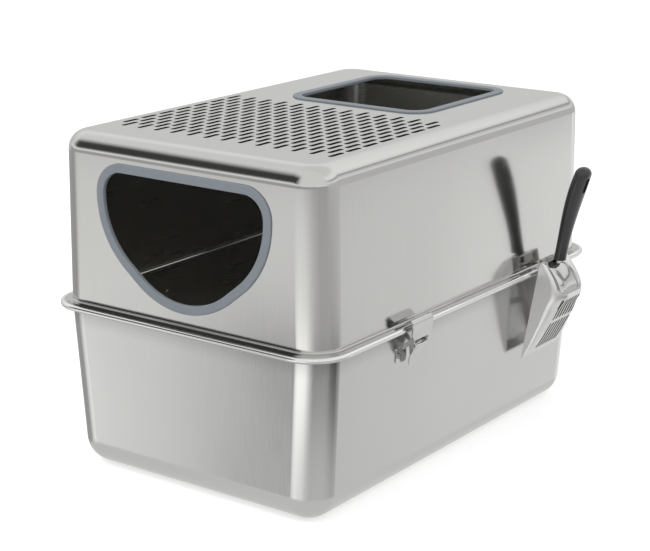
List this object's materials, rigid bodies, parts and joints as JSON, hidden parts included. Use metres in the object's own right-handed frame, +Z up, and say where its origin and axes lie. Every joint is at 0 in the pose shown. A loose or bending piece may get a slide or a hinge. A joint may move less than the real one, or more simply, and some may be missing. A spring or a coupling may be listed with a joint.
{
  "type": "top entry litter box",
  "caption": "Deep steel litter pan under a steel hood with a D-shaped end entry, a top entry, litter slots, toggle latches and a rim-hung scoop.",
  "frame": {"origin": "centre of the pan's flat underside, on the surface it rests on", "axes": "+Z up, +Y along the box from the D-shaped entry to the top entry, +X across it to the side that carries the scoop"},
  "size_m": [0.4611, 0.6, 0.4017],
  "materials": {
    "pan_steel": "satin, fine bead-blasted look",
    "hood_steel": "brushed above, polished near the foot",
    "grey_edging": "satin slate grey",
    "scoop_steel": "satin",
    "bright_fittings": "polished",
    "handle_plastic": "soft gloss charcoal"
  },
  "bodies": {
    "pan": {"lower_pan": "pan_steel", "latch_right_base": "bright_fittings", "latch_right_rivets": "bright_fittings", "latch_right_lever_pin": "bright_fittings", "latch_left_base": "bright_fittings", "latch_left_rivets": "bright_fittings", "latch_left_lever_pin": "bright_fittings", "scoop_clip": "bright_fittings"},
    "hood": {"hood": "hood_steel", "entry_trim": "grey_edging", "top_trim": "grey_edging"},
    "latch_right_lever": {"latch_right_lever": "bright_fittings", "latch_right_claw_pin": "bright_fittings"},
    "latch_right_claw": {"latch_right_claw": "bright_fittings"},
    "latch_left_lever": {"latch_left_lever": "bright_fittings", "latch_left_claw_pin": "bright_fittings"},
    "latch_left_claw": {"latch_left_claw": "bright_fittings"},
    "scoop": {"scoop_bowl": "scoop_steel", "scoop_saddle": "bright_fittings", "scoop_tang": "scoop_steel", "scoop_handle": "handle_plastic"}
  },
  "joints": [
    {"name": "hood_lift", "type": "slide", "parent": "pan", "child": "hood", "axis": [0, 0, 1], "range_m": [0, 0.25]},
    {"name": "scoop_lift", "type": "slide", "parent": "pan", "child": "scoop", "axis": [0.1305, 0, 0.9914], "range_m": [0, 0.16]},
    {"name": "latch_right_pull", "type": "hinge", "parent": "pan", "child": "latch_right_lever", "pos_m": [0.1995, -0.1195, 0.182], "axis": [0, -1, 0], "range_deg": [-8, 82]},
    {"name": "latch_right_claw_turn", "type": "hinge", "parent": "latch_right_lever", "child": "latch_right_claw", "pos_m": [0.20047, -0.1195, 0.17507], "axis": [0, -1, 0], "range_deg": [-151, 15]},
    {"name": "latch_left_pull", "type": "hinge", "parent": "pan", "child": "latch_left_lever", "pos_m": [-0.1995, -0.1195, 0.182], "axis": [0, 1, 0], "range_deg": [-8, 82]},
    {"name": "latch_left_claw_turn", "type": "hinge", "parent": "latch_left_lever", "child": "latch_left_claw", "pos_m": [-0.20047, -0.1195, 0.17507], "axis": [0, 1, 0], "range_deg": [-151, 15]}
  ],
  "couplings": [
    {"joint": "latch_right_claw_turn", "follows": "latch_right_pull", "ratio": -1.83},
    {"joint": "latch_left_claw_turn", "follows": "latch_left_pull", "ratio": -1.83}
  ]
}
